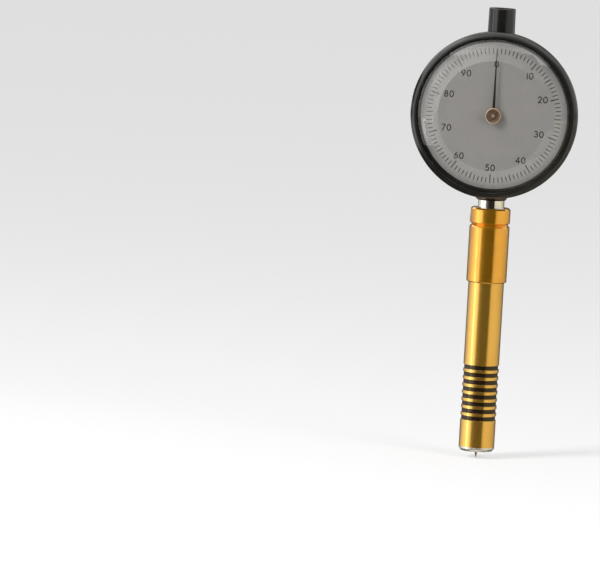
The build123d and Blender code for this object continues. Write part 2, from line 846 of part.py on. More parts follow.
def make_front_plate():
    """Plate in front of the wheels, held on four pillars."""
    face = Circle(front_plate_d / 2)
    for place in pillar_places():
        face -= Pos(*place) * Circle(plate_screw_d / 2 + SEAT)
    for place in (first_arbor, takeup_arbor, (0, 0)):
        face -= Pos(*place) * Circle(pivot_bush_d / 2 + SEAT)
    for place in window_places():
        face -= Pos(*place) * Circle(window_d / 2)
    return slab(face, front_plate_y, front_plate_front_y)


def make_plate_pillars():
    """Four tapped pillars between the plates."""
    pillars = []
    for place in pillar_places():
        pillar = bar_head(place, pillar_d, rear_plate_front_y, front_plate_y)
        pillar -= bar_head(place, plate_screw_d + 2 * SEAT, rear_plate_front_y, front_plate_y)
        pillars.append(pillar)
    return Compound(children=pillars)


def make_front_plate_screws():
    """Long screws through the front plate and the pillars into the rear plate."""
    return Compound(
        children=[
            slotted_screw(
                place,
                plate_screw_d,
                plate_screw_head_d,
                plate_screw_head,
                rear_plate_y,
                front_plate_front_y,
                front_plate_front_y - plate_screw_head,
            )
            for place in pillar_places()
        ]
    )


def make_movement_screws():
    """Screws of the rear plate, their heads in front of it."""
    end_y = rear_plate_y + movement_screw_depth - FREE
    return Compound(
        children=[
            slotted_screw(
                place,
                movement_screw_d,
                (case_front_bore_d - chamber_d) / 2 - FREE,
                plate_screw_head,
                end_y,
                rear_plate_front_y,
                rear_plate_front_y - plate_screw_head,
            )
            for place in movement_screw_places()
        ]
    )


def bush(place, bore_d, back_y, front_y):
    """Bearing bush in a plate."""
    ring = Circle(pivot_bush_d / 2) - Circle(bore_d / 2 + RUN)
    return slab(Pos(*place) * ring, back_y, front_y)


def make_front_bushes():
    return Compound(
        children=[
            bush(first_arbor, pivot_d, front_plate_y, front_plate_front_y),
            bush(takeup_arbor, pivot_d, front_plate_y, front_plate_front_y),
            bush((0, 0), arbor_d, front_plate_y, front_plate_front_y),
        ]
    )


def make_rear_bushes():
    return Compound(
        children=[
            bush(first_arbor, arbor_d, rear_plate_y, rear_plate_front_y),
            bush(takeup_arbor, pivot_d, rear_plate_y, rear_plate_front_y),
            bush((0, 0), pivot_d, rear_plate_y, rear_plate_front_y),
        ]
    )


bridge_y = rack_pinion_width / 2 + bridge_gap
bridge_back_y = bridge_y + bridge_thickness


def make_bridge_pillars():
    pillars = []
    for place in bridge_pillar_places():
        pillar = bar_head(place, bridge_pillar_d, bridge_y, rear_plate_y)
        pillars.append(pillar - bar_head(place, plate_screw_d + 2 * SEAT, bridge_y, rear_plate_y))
    return Compound(children=pillars)


def make_bridge():
    """Bridge that carries the rack pinion's rear pivot, beside the spindle."""
    low, high = bridge_pillar_places()
    outline = make_hull(
        (
            Pos(*low) * Circle(bridge_pillar_d / 2 + bridge_rim)
            + Pos(*high) * Circle(bridge_pillar_d / 2 + bridge_rim)
            + Pos(*first_arbor) * Circle(pivot_bush_d / 2 + bridge_rim)
        ).edges()
    )
    outline -= Pos(*first_arbor) * Circle(pivot_bush_d / 2 + SEAT)
    for place in (low, high):
        outline -= Pos(*place) * Circle(plate_screw_d / 2 + SEAT)
    return slab(outline, bridge_back_y, bridge_y)


def make_bridge_bush():
    return bush(first_arbor, pivot_d, bridge_back_y, bridge_y)


def make_bridge_screws():
    """Screws through the bridge and its pillars into the rear plate."""
    return Compound(
        children=[
            slotted_screw(
                place,
                plate_screw_d,
                plate_screw_head_d,
                plate_screw_head,
                rear_plate_front_y,
                bridge_back_y,
                bridge_back_y + plate_screw_head,
            )
            for place in bridge_pillar_places()
        ]
    )


def make_guide_screws():
    """Screws through the guide block into the rear plate."""
    return Compound(
        children=[
            slotted_screw(
                place,
                plate_screw_d,
                plate_screw_head_d,
                plate_screw_head,
                rear_plate_front_y,
                guide_block_back_y,
                guide_block_back_y + plate_screw_head,
            )
            for place in guide_screw_places()
        ]
    )


def wheel(place, teeth, module, phase_deg, back_y, thickness, bore_d):
    """Toothed wheel at an arbor."""
    face = gear_face(teeth, module, phase_deg)
    if bore_d:
        face -= Circle(bore_d / 2 + SEAT)
    return slab(Pos(*place) * face, back_y, back_y - thickness)


def crossed_wheel(place, phase_deg):
    """Large wheel with four round windows, as clock wheels have."""
    body = wheel(place, wheel_teeth, wheel_module, phase_deg, wheel_y, wheel_thickness, arbor_d)
    reach = wheel_window_place * wheel_module * wheel_teeth / 2
    for n in range(wheel_window_count):
        turn = 2 * math.pi * (n + 0.5) / wheel_window_count
        middle = (place[0] + reach * math.cos(turn), place[1] + reach * math.sin(turn))
        body -= bar_head(middle, wheel_window_d, wheel_y, wheel_y - wheel_thickness)
    return body


def make_first_wheel():
    return crossed_wheel(first_arbor, mesh_deg)


def make_takeup_wheel():
    return crossed_wheel(takeup_arbor, mesh_deg + 180)


def make_rack_pinion():
    """Arbor with the rack pinion behind the rear plate and a pivot at each end."""
    half_tooth_deg = 180.0 / rack_pinion_teeth
    half = rack_pinion_width / 2
    pinion = wheel(first_arbor, rack_pinion_teeth, rack_module, half_tooth_deg, half, 2 * half, 0)
    arbor = bar_head(first_arbor, arbor_d, half + bridge_gap / 2, front_plate_y + bridge_gap / 2)
    rear_pivot = bar_head(first_arbor, pivot_d, bridge_back_y, half)
    front_pivot = bar_head(first_arbor, pivot_d, front_plate_y + bridge_gap, front_plate_front_y)
    return pinion + arbor + rear_pivot + front_pivot


def make_centre_arbor():
    """Arbor with the centre pinion; it comes out through the dial and carries the pointer."""
    middle_y = wheel_y - wheel_thickness / 2
    back_y = middle_y + centre_pinion_width / 2
    half_tooth_deg = 180.0 / centre_pinion_teeth
    phase_deg = mesh_deg + half_tooth_deg
    pinion = wheel((0, 0), centre_pinion_teeth, wheel_module, phase_deg, back_y, centre_pinion_width, 0)
    arbor = bar_head((0, 0), arbor_d, back_y, hub_front_y + hub_dish)
    rear_pivot = bar_head((0, 0), pivot_d, rear_plate_y, back_y)
    return pinion + arbor + rear_pivot


def make_takeup_arbor():
    arbor = bar_head(takeup_arbor, arbor_d, rear_plate_front_y - RUN, front_plate_y + RUN)
    rear_pivot = bar_head(takeup_arbor, pivot_d, rear_plate_y, rear_plate_front_y - RUN)
    front_pivot = bar_head(takeup_arbor, pivot_d, front_plate_y + RUN, front_plate_front_y)
    return arbor + rear_pivot + front_pivot


collet_y = (rear_plate_front_y + wheel_y) / 2 + collet_width / 2


def make_hairspring_collet():
    ring = Circle(collet_d / 2) - Circle(arbor_d / 2 + SEAT)
    return slab(Pos(*takeup_arbor) * ring, collet_y, collet_y - collet_width)


hairspring_inner_r = collet_d / 2 + hairspring_strip / 2 + RUN
hairspring_outer_r = hairspring_inner_r + hairspring_turns * hairspring_pitch


def stud_place():
    """Stud beside the hairspring's outer end, as (x, z) from the dial's centre."""
    reach = hairspring_outer_r + hairspring_strip / 2 + SEAT + stud_d / 2
    return (takeup_arbor[0] + reach, takeup_arbor[1])


def make_hairspring():
    """Flat spiral spring that takes up the play of the wheels."""
    steps = hairspring_sides * hairspring_turns
    outer, inner = [], []
    for n in range(steps + 1):
        turn = 2 * math.pi * hairspring_turns * n / steps
        radius = hairspring_inner_r + hairspring_pitch * turn / (2 * math.pi)
        for side, points in ((hairspring_strip / 2, outer), (-hairspring_strip / 2, inner)):
            points.append(((radius + side) * math.cos(turn), (radius + side) * math.sin(turn)))
    strip = make_face(Polyline(*outer, *reversed(inner), close=True))
    back_y = collet_y - (collet_width - hairspring_width) / 2
    return slab(Pos(*takeup_arbor) * strip, back_y, back_y - hairspring_width)


def make_hairspring_stud():
    return bar_head(stud_place(), stud_d, rear_plate_y, collet_y - collet_width)


# Dial, pointer, crystal and bezel


def make_dial():
    face = Circle(dial_d / 2) - Circle(dial_hole_d / 2)
    return slab(face, dial_back_y, dial_y)


def make_needle():
    """Tapered hand, upright at zero, with an eye for the hub."""
    root = needle_root_width / 2
    tip = needle_tip_width / 2
    blade = make_face(
        Polyline((-root, 0), (root, 0), (tip, needle_length), (-tip, needle_length), close=True)
    )
    face = Circle(needle_eye_d / 2) + blade - Circle(hub_neck_d / 2 + SEAT)
    return slab(face, needle_y, needle_front_y)


def make_hub():
    """Dished brass hub whose neck grips the centre arbor."""
    arbor_r = arbor_d / 2 + SEAT
    neck_y = needle_y + pointer_rise / 2
    return rings_head(
        [
            (arbor_r, hub_front_y + hub_dish),
            (hub_dish_d / 2 - hub_dish, hub_front_y + hub_dish),
            (hub_dish_d / 2, hub_front_y),
            (hub_d / 2 - hub_edge, hub_front_y),
            (hub_d / 2, hub_front_y + hub_edge),
            (hub_d / 2, needle_front_y),
            (hub_neck_d / 2, needle_front_y),
            (hub_neck_d / 2, neck_y),
            (arbor_r, neck_y),
        ]
    )


def make_crystal():
    """Clear cover: a flat middle, a shoulder that slopes from a crease, a rim under the bezel's lip."""
    crease = math.radians(crystal_crease_deg)
    rim = math.radians(crystal_rim_deg)
    outer_r = crystal_shoulder / (math.sin(rim) - math.sin(crease))
    inner_r = outer_r - crystal_thickness
    centre_r = crystal_open_r - outer_r * math.sin(rim)
    centre_y = crystal_rim_y + outer_r * math.cos(rim)
    front_y = centre_y - outer_r * math.cos(crease)
    back_y = front_y + crystal_thickness
    inner_crease = math.acos((centre_y - back_y) / inner_r)

    def bow(radius, start, end):
        """Arc of the shoulder between two slopes."""
        slopes = (start, (start + end) / 2, end)
        return [(centre_r + radius * math.sin(t), centre_y - radius * math.cos(t)) for t in slopes]

    outer = bow(outer_r, crease, rim)
    inner = bow(inner_r, rim, inner_crease)
    rim_edge = Polyline(
        outer[-1],
        (crystal_r, crystal_rim_y),
        (crystal_r, crystal_y),
        (inner[0][0], crystal_y),
        inner[0],
    )
    middle = Polyline(inner[-1], (0, back_y), (0, front_y), outer[0])
    return lathe_head(make_face(ThreePointArc(*outer) + rim_edge + ThreePointArc(*inner) + middle))


def make_bezel():
    """Smooth ring: a lip over the crystal's rim, a large round, seats for the crystal and the dial."""
    outer_r = bezel_d / 2
    case_r = nose_outer_d / 2 + RUN
    groove_half = ring_wire_d / 2 + SEAT
    groove_r = ring_r + ring_wire_d / 2 + SEAT
    round_r = outer_r - bezel_round
    round_y = bezel_front_y + bezel_round
    share = bezel_round * math.sqrt(0.5)
    edge = ThreePointArc((round_r, bezel_front_y), (round_r + share, round_y - share), (outer_r, round_y))
    body = Polyline(
        (outer_r, round_y),
        (outer_r, bezel_rear_y - bezel_rear_edge),
        (outer_r - bezel_rear_edge, bezel_rear_y),
        (case_r, bezel_rear_y),
        (case_r, ring_y + groove_half),
        (groove_r, ring_y + groove_half),
        (groove_r, ring_y - groove_half),
        (case_r, ring_y - groove_half),
        (case_r, dial_back_y),
        (dial_recess_r, dial_back_y),
        (dial_recess_r, crystal_y),
        (crystal_r + SEAT, crystal_y),
        (crystal_r + SEAT, crystal_rim_y),
        (crystal_open_r, crystal_rim_y),
        (crystal_open_r, bezel_front_y + bezel_lip_edge),
        (crystal_open_r + bezel_lip_edge, bezel_front_y),
        (round_r, bezel_front_y),
    )
    return lathe_head(make_face(edge + body))


def make_bezel_ring():
    """Split wire ring that holds the bezel on the case and lets it turn."""
    section = Pos(ring_r, ring_y) * Circle(ring_wire_d / 2)
    ring = revolve(section, Axis.Y, revolution_arc=360 - ring_gap_deg)
    return Pos(0, 0, head_z) * ring


PIECES = {
    "presser_foot": make_presser_foot,
    "foot_bush": make_foot_bush,
    "indenter": make_indenter,
    "indenter_holder": make_indenter_holder,
    "push_rod": make_push_rod,
    "main_spring": make_main_spring,
    "spring_washer": make_spring_washer,
    "spring_adjuster": lambda: threaded_ring(adjuster_z, adjuster_length),
    "adjuster_lock_ring": lambda: threaded_ring(adjuster_top_z, lock_ring_length),
    "rod_bush": make_rod_bush,
    "lower_barrel": make_barrel,
    "grip_bands": make_grip_bands,
    "collar": make_collar,
    "collar_set_screw": make_collar_set_screw,
    "stem": make_stem,
    "lower_bushing": make_lower_bushing,
    "spindle_contact": make_contact,
    "spindle_rack": make_spindle,
    "guide_pin": make_guide_pin,
    "return_spring": make_return_spring,
    "return_spring_stud": make_return_stud,
    "guide_block": make_guide_block,
    "guide_block_screws": make_guide_screws,
    "case_body": make_case,
    "upper_bushing": make_upper_bushing,
    "top_cap": make_top_cap,
    "back_cover": make_back_cover,
    "back_cover_screws": make_cover_screws,
    "rear_plate": make_rear_plate,
    "front_plate": make_front_plate,
    "plate_pillars": make_plate_pillars,
    "front_plate_screws": make_front_plate_screws,
    "movement_screws": make_movement_screws,
    "front_pivot_bushes": make_front_bushes,
    "rear_pivot_bushes": make_rear_bushes,
    "pinion_bridge": make_bridge,
    "bridge_pillars": make_bridge_pillars,
    "bridge_bush": make_bridge_bush,
    "bridge_screws": make_bridge_screws,
    "rack_pinion": make_rack_pinion,
    "first_wheel": make_first_wheel,
    "centre_pinion": make_centre_arbor,
    "takeup_wheel": make_takeup_wheel,
    "takeup_arbor": make_takeup_arbor,
    "hairspring": make_hairspring,
    "hairspring_collet": make_hairspring_collet,
    "hairspring_stud": make_hairspring_stud,
    "dial_face": make_dial,
    "pointer": make_needle,
    "pointer_hub": make_hub,
    "crystal": make_crystal,
    "bezel": make_bezel,
    "bezel_ring": make_bezel_ring,
}

for name, make in PIECES.items():
    export_step(make(), f"parts/{name}.step")
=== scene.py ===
import math

import bmesh
import bpy
from mathutils import Matrix, Vector


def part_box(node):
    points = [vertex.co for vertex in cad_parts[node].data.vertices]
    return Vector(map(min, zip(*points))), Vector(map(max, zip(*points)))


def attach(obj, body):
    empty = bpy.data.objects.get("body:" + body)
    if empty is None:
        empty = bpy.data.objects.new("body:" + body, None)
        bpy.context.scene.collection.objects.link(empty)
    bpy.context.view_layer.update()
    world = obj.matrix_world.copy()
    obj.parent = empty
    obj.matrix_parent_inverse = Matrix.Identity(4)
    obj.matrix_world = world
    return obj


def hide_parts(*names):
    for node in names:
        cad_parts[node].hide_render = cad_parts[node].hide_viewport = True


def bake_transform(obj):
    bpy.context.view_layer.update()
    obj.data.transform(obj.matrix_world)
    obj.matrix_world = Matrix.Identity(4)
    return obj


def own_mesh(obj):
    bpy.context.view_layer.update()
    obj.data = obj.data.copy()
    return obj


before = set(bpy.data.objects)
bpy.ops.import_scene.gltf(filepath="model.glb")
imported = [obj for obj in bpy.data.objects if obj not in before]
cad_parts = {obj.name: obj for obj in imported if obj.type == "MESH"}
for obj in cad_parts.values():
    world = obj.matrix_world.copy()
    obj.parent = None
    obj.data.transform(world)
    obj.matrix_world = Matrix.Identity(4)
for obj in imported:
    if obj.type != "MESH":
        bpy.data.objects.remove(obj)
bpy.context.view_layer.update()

# Dial durometer: finishes, springs, dial print, studio and camera, in the frame of the packed
# solids. Lengths are in metres unless a name or a comment says otherwise.
MM = 0.001

# Camera. The photograph's size and the aim's pixel are in pixels, and angles in degrees. The aim
# is the point at AIM_HEIGHT on the barrel's axis.
PHOTO_WIDTH = 600
PHOTO_HEIGHT = 571
CAMERA_DISTANCE = 2000 * MM
CAMERA_AZIMUTH = 5.53
CAMERA_ELEVATION = 5.0
CAMERA_ROLL = 3.42
PIXELS_PER_MM = 2.815
AIM_HEIGHT = 90 * MM
AIM_PIXEL = (491.2, 199.1)
SENSOR_WIDTH = 36.0  # millimetres
CAMERA_REACH = 50.0

# Studio
FLOOR_RADIUS = 8.0
FLOOR_SIDES = 64
FLOOR_GAP = 0.05 * MM  # between the indenter's tip and the floor
FLOOR_PALE = 0.80
FLOOR_GLOW = 0.60  # share of the floor that the camera sees as even white
WORLD_FILL = 0.42  # light from all round on dull surfaces
CARD_RADIUS = 0.70

# Dial print, from the dial's centre
DIVISIONS = 100
TICK_OUTER = 23.65 * MM
TICK_MINOR = 21.85 * MM
TICK_FIVE = 21.4 * MM
TICK_TEN = 20.7 * MM
TICK_WIDTH = 0.34 * MM
TICK_FIVE_WIDTH = 0.38 * MM
TICK_TEN_WIDTH = 0.40 * MM
INK_THICKNESS = 0.012 * MM
INK_STEP = 0.002 * MM  # a stroke that crosses another lies this much higher
DIGIT_HEIGHT = 2.40 * MM
DIGIT_STROKE = 0.36 * MM
DIGIT_GAP = 0.36 * MM
NUMBER_PLACES_MM = (
    (0.00, 18.20), (12.01, 14.69), (17.00, 6.65), (16.35, -5.58), (10.42, -15.17),
    (-0.20, -18.50), (-11.53, -14.90), (-16.52, -5.22), (-16.25, 6.73), (-10.61, 14.40),
)  # middle of each number, across and up from the dial's centre

dial_low, dial_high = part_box("dial_face")
DIAL_Y = dial_low.y
DIAL_Z = (dial_low.z + dial_high.z) / 2
FOOT_TIP_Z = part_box("indenter")[0].z

# Painted shade and highlight, and the rim's roughness, by distance from the dial's axis: where each
# starts and where it is full
HUB_WALL_PAINTED_SHADE = (1.78 * MM, 1.86 * MM)  # painted shade on the wall of the hub's dish, darker than its floor
HUB_RIM = (2.42 * MM, 2.48 * MM)  # the hub's rim: a painted pale highlight, and rougher than its dish
DIAL_PAINTED_SHADE = (23.3 * MM, 26.0 * MM)  # painted shade on the plate, darker towards its edge


# Finishes


NOISE_MIDDLE = (0.3, 0.7)  # range that most of a noise's values lie in
CORNER_WEAR_AND_HIGHLIGHT_RANGE = (0.02, 0.25)  # turn of a corner's normal, from none to full share of wear and of the hub rim's painted highlight
BEVEL_SAMPLES = 4
RING_DETAIL = 2.0
MIX_FIRST, MIX_SECOND, MIX_RESULT = 6, 7, 2  # colour sockets of a Mix node


class Finish:
    """One material and what all finishes share. Grains, radii and depths are in millimetres."""

    def __init__(self, name, colour, metallic, roughness):
        self.material = bpy.data.materials.new(name)
        self.material.use_nodes = True
        self.tree = self.material.node_tree
        self.shader = self.tree.nodes["Principled BSDF"]
        self.shader.inputs["Base Color"].default_value = (*colour, 1.0)
        self.shader.inputs["Metallic"].default_value = metallic
        self.shader.inputs["Roughness"].default_value = roughness
        self.place = self.node("ShaderNodeTexCoord").outputs["Object"]

    def node(self, kind, **settings):
        made = self.tree.nodes.new(kind)
        for key, value in settings.items():
            setattr(made, key, value)
        return made

    def link(self, output, target):
        self.tree.links.new(output, target)

    def noise(self, grain, detail=3.0):
        """Noise whose grain is this many millimetres along X, Y and Z."""
        mapping = self.node("ShaderNodeMapping")
        mapping.inputs["Scale"].default_value = [1.0 / (size * MM) for size in grain]
        self.link(self.place, mapping.inputs["Vector"])
        noise = self.node("ShaderNodeTexNoise")
        noise.inputs["Scale"].default_value = 1.0
        noise.inputs["Detail"].default_value = detail
        self.link(mapping.outputs["Vector"], noise.inputs["Vector"])
        return noise.outputs["Fac"]

    def axis_distance(self):
        """Distance from the dial's axis, in metres."""
        split = self.node("ShaderNodeSeparateXYZ")
        self.link(self.place, split.inputs["Vector"])
        height = self.node("ShaderNodeMath", operation="SUBTRACT")
        self.link(split.outputs["Z"], height.inputs[0])
        height.inputs[1].default_value = DIAL_Z
        flat = self.node("ShaderNodeCombineXYZ")
        self.link(split.outputs["X"], flat.inputs["X"])
        self.link(height.outputs["Value"], flat.inputs["Y"])
        length = self.node("ShaderNodeVectorMath", operation="LENGTH")
        self.link(flat.outputs["Vector"], length.inputs[0])
        return length.outputs["Value"]

    def ring_noise(self, grain):
        """Noise that runs in rings about the dial's axis, as a lathe leaves it on a face."""
        spread = self.node("ShaderNodeMath", operation="MULTIPLY")
        self.link(self.axis_distance(), spread.inputs[0])
        spread.inputs[1].default_value = 1.0 / (grain * MM)
        noise = self.node("ShaderNodeTexNoise", noise_dimensions="1D")
        noise.inputs["Scale"].default_value = 1.0
        noise.inputs["Detail"].default_value = RING_DETAIL
        self.link(spread.outputs["Value"], noise.inputs["W"])
        return noise.outputs["Fac"]

    def spread(self, source, low=0.0, high=1.0, span=NOISE_MIDDLE):
        """The source's span stretched to low and high, and held at them outside it."""
        stretch = self.node("ShaderNodeMapRange")
        stretch.inputs["From Min"].default_value = span[0]
        stretch.inputs["From Max"].default_value = span[1]
        stretch.inputs["To Min"].default_value = low
        stretch.inputs["To Max"].default_value = high
        self.link(source, stretch.inputs["Value"])
        return stretch.outputs["Result"]

    def vary_roughness(self, source, low, high):
        self.link(self.spread(source, low, high), self.shader.inputs["Roughness"])

    def mix(self, share, colour_a, colour_b):
        """Colour between two, either of which may be a socket."""
        mixer = self.node("ShaderNodeMix", data_type="RGBA")
        self.link(share, mixer.inputs["Factor"])
        for place, colour in ((MIX_FIRST, colour_a), (MIX_SECOND, colour_b)):
            if isinstance(colour, tuple):
                mixer.inputs[place].default_value = (*colour, 1.0)
            else:
                self.link(colour, mixer.inputs[place])
        return mixer.outputs[MIX_RESULT]

    def clouded(self, noise, colour_a, colour_b):
        """Colour that goes from one to the other with a noise."""
        return self.mix(self.spread(noise), colour_a, colour_b)

    def product(self, share_a, share_b):
        times = self.node("ShaderNodeMath", operation="MULTIPLY")
        self.link(share_a, times.inputs[0])
        self.link(share_b, times.inputs[1])
        return times.outputs["Value"]

    def rounded(self, radius):
        """Normal of the surface with its corners softened by a radius."""
        bevel = self.node("ShaderNodeBevel", samples=BEVEL_SAMPLES)
        bevel.inputs["Radius"].default_value = radius * MM
        return bevel.outputs["Normal"]

    def edges(self, radius):
        """Share of wear, and on the hub's rim of painted highlight: full within about this radius
        of a corner, none on plain faces.
        """
        soft = self.rounded(radius)
        plain = self.node("ShaderNodeNewGeometry").outputs["Normal"]
        turn = self.node("ShaderNodeVectorMath", operation="DOT_PRODUCT")
        self.link(soft, turn.inputs[0])
        self.link(plain, turn.inputs[1])
        none, full = CORNER_WEAR_AND_HIGHLIGHT_RANGE
        return self.spread(turn.outputs["Value"], 1.0, 0.0, (1.0 - full, 1.0 - none))

    def colour(self, socket):
        self.link(socket, self.shader.inputs["Base Color"])

    def bump(self, layers, corner=0.0):
        """Height layers, each a source and its depth, over corners softened by a radius."""
        normal = self.rounded(corner) if corner else None
        for source, depth in layers:
            bump = self.node("ShaderNodeBump")
            bump.inputs["Strength"].default_value = 1.0
            bump.inputs["Distance"].default_value = depth * MM
            self.link(source, bump.inputs["Height"])
            if normal is not None:
                self.link(normal, bump.inputs["Normal"])
            normal = bump.outputs["Normal"]
        self.link(normal, self.shader.inputs["Normal"])


def black_enamel():
    """Semi-gloss stove enamel with a faint orange peel, thin at the corners."""
    black = (0.007, 0.007, 0.0065)
    finish = Finish("black_enamel", black, 0.0, 0.18)
    peel = finish.noise((1.1, 1.1, 1.1), 2.0)
    dust = finish.noise((0.18, 0.18, 0.18), 3.0)
    patch = finish.noise((7.0, 7.0, 7.0), 3.0)
    finish.vary_roughness(patch, 0.10, 0.15)
    finish.shader.inputs["IOR"].default_value = 1.55
    thin = finish.product(finish.edges(0.25), finish.spread(dust, 0.0, 0.5, (0.45, 0.7)))
    finish.colour(finish.mix(thin, black, (0.04, 0.038, 0.035)))
    finish.bump([(peel, 0.004), (dust, 0.0008)], corner=0.10)
    return finish.material


# Anodised finishes: colour, deeper colour and bare metal
ANODISED = {
    "gold_barrel": ((0.87, 0.50, 0.068), (0.83, 0.45, 0.050), (0.90, 0.86, 0.72)),
    "orange_collar": ((0.88, 0.43, 0.018), (0.84, 0.37, 0.012), (0.90, 0.82, 0.66)),
}


def anodised(name, colour, deep, bare):
    """Turned and dyed aluminium: fine rings, deeper dye in places, bare metal at worn corners.

    The clear oxide on top shines white over the dyed metal, which glows a little from within.
    """
    finish = Finish(name, colour, 0.90, 0.22)
    rings = finish.noise((9.0, 9.0, 0.06), 2.0)
    bands = finish.noise((30.0, 30.0, 0.9), 2.0)
    cloud = finish.noise((6.0, 6.0, 10.0), 3.0)
    speck = finish.noise((0.12, 0.12, 0.12), 2.0)
    finish.vary_roughness(bands, 0.17, 0.25)
    dyed = finish.clouded(cloud, colour, deep)
    worn = finish.product(finish.edges(0.12), finish.spread(speck, 0.0, 0.8, (0.48, 0.68)))
    finish.colour(finish.mix(worn, dyed, bare))
    finish.shader.inputs["Coat Weight"].default_value = 1.0
    finish.shader.inputs["Coat IOR"].default_value = 1.68
    finish.shader.inputs["Coat Roughness"].default_value = 0.10
    finish.bump([(rings, 0.0012), (speck, 0.0006)], corner=0.08)
    return finish.material


def band_enamel():
    """Black paint laid in the grip grooves, with its shine tinted warm as a painted reflection of
    the gold walls.
    """
    finish = Finish("band_enamel", (0.012, 0.006, 0.003), 0.0, 0.14)
    finish.shader.inputs["IOR"].default_value = 1.50
    # painted reflection: the warm specular tint stands in for the gold groove walls seen in the
    # paint
    finish.shader.inputs["Specular Tint"].default_value = (1.0, 0.86, 0.55, 1.0)
    finish.vary_roughness(finish.noise((1.5, 1.5, 0.4)), 0.10, 0.20)
    finish.bump([(finish.noise((0.5, 0.5, 0.2)), 0.004)])
    return finish.material


# Grains of tool marks along X, Y and Z
ROUND_Z = (4.0, 4.0, 0.05)  # turned about an upright axis
ROUND_Y = (1.0, 0.05, 1.0)  # turned about an axis through the dial
ACROSS_X = (0.08, 2.0, 2.0)
EVEN = (0.3, 0.3, 0.3)

# Metals with fine tool marks. Each has its colour, its roughness from low to high, and the depth
# and grain of its marks. The radius of its corners and how metallic it is follow where they differ
# from the usual ones.
MACHINED = {
    "foot_steel": ((0.76, 0.73, 0.68), 0.22, 0.32, 0.0015, ROUND_Z, 0.15, 0.75),
    "hard_steel": ((0.56, 0.56, 0.57), 0.10, 0.18, 0.0006, ROUND_Z),
    "chrome_plate": ((0.84, 0.83, 0.79), 0.07, 0.12, 0.0004, ROUND_Z),
    "spindle_steel": ((0.58, 0.58, 0.58), 0.18, 0.28, 0.0008, ROUND_Z),
    "spring_steel": ((0.40, 0.40, 0.42), 0.24, 0.36, 0.0020, EVEN),
    "screw_steel": ((0.55, 0.55, 0.54), 0.22, 0.34, 0.0012, ACROSS_X),
    "bush_bronze": ((0.66, 0.40, 0.20), 0.24, 0.36, 0.0015, ROUND_Z),
    "pivot_bronze": ((0.72, 0.47, 0.22), 0.18, 0.28, 0.0008, ROUND_Y),
    "arbor_steel": ((0.48, 0.40, 0.34), 0.24, 0.32, 0.0010, ROUND_Y, 0.30),
}
TARNISH = 0.86  # share of its light that a metal keeps where it is stained


def machined(name, colour, low, high, depth, grain, corner=0.06, metallic=1.0):
    """Metal with fine tool marks and a little tarnish."""
    finish = Finish(name, colour, metallic, low)
    marks = finish.noise(grain, 2.0)
    stain = finish.noise((2.5, 2.5, 2.5), 4.0)
    finish.vary_roughness(stain, low, high)
    finish.colour(finish.clouded(stain, colour, tuple(TARNISH * part for part in colour)))
    finish.bump([(marks, depth)], corner=corner)
    return finish.material


def movement_brass():
    """Rolled brass sheet, brushed along X."""
    brass = (0.78, 0.57, 0.27)
    finish = Finish("movement_brass", brass, 1.0, 0.28)
    brushed = finish.noise((6.0, 0.06, 0.05), 3.0)
    stain = finish.noise((4.0, 4.0, 4.0), 4.0)
    finish.vary_roughness(brushed, 0.22, 0.34)
    finish.colour(finish.clouded(stain, brass, (0.70, 0.48, 0.21)))
    finish.bump([(brushed, 0.0012)], corner=0.04)
    return finish.material


def hub_brass():
    """Turned brass, with rings about the dial's axis, painted shade on the wall of its dish and a
    painted pale highlight on its rim.
    """
    finish = Finish("hub_brass", (0.84, 0.58, 0.38), 1.0, 0.18)
    rings = finish.ring_noise(0.12)
    fleck = finish.noise((0.6, 0.6, 0.6), 3.0)
    turned = finish.clouded(fleck, (0.80, 0.56, 0.38), (0.66, 0.43, 0.27))
    distance = finish.axis_distance()
    wall = finish.spread(distance, span=HUB_WALL_PAINTED_SHADE)
    rim = finish.spread(distance, span=HUB_RIM)
    # painted shade: the dish's wall is given a dark brown, as the recess's shade
    dish = finish.mix(wall, turned, (0.34, 0.23, 0.15))
    # painted highlight: the rim's corners turn pale, as a glint would show them
    pale = finish.mix(finish.edges(0.26), turned, (0.93, 0.89, 0.80))
    finish.colour(finish.mix(rim, dish, pale))
    finish.vary_roughness(rim, 0.16, 0.44)
    finish.bump([(rings, 0.0003), (fleck, 0.0003)], corner=0.14)
    return finish.material


def dial_silver():
    """Frosted silver plate: fine grain, a slight satin sheen, faint clouds, and painted shade
    darkening its border.
    """
    finish = Finish("dial_silver", (0.21, 0.202, 0.194), 0.25, 0.55)
    grain = finish.noise((0.30, 0.30, 0.30), 4.0)
    cloud = finish.noise((5.0, 5.0, 5.0), 3.0)
    tone = finish.clouded(grain, (0.180, 0.173, 0.166), (0.236, 0.227, 0.218))
    tint = finish.node("ShaderNodeMix", data_type="RGBA", blend_type="MULTIPLY")
    tint.inputs["Factor"].default_value = 1.0
    finish.link(tone, tint.inputs[MIX_FIRST])
    shade = finish.clouded(cloud, (0.95, 0.95, 0.96), (1.0, 1.0, 1.0))
    finish.link(shade, tint.inputs[MIX_SECOND])
    # painted shade: the plate darkens towards its edge, where the bezel and the crystal's shoulder
    # shade it
    edge = finish.spread(finish.axis_distance(), span=DIAL_PAINTED_SHADE)
    finish.colour(finish.mix(edge, tint.outputs[MIX_RESULT], (0.088, 0.084, 0.080)))
    finish.vary_roughness(grain, 0.48, 0.62)
    finish.bump([(grain, 0.004)])
    return finish.material


def pointer_black():
    """Satin black paint and printing ink."""
    finish = Finish("pointer_black", (0.006, 0.006, 0.006), 0.0, 0.42)
    finish.shader.inputs["IOR"].default_value = 1.28
    grain = finish.noise((0.10, 0.10, 0.10), 3.0)
    finish.vary_roughness(grain, 0.36, 0.50)
    finish.colour(finish.clouded(grain, (0.005, 0.005, 0.005), (0.012, 0.011, 0.011)))
    finish.bump([(grain, 0.0015)])
    return finish.material


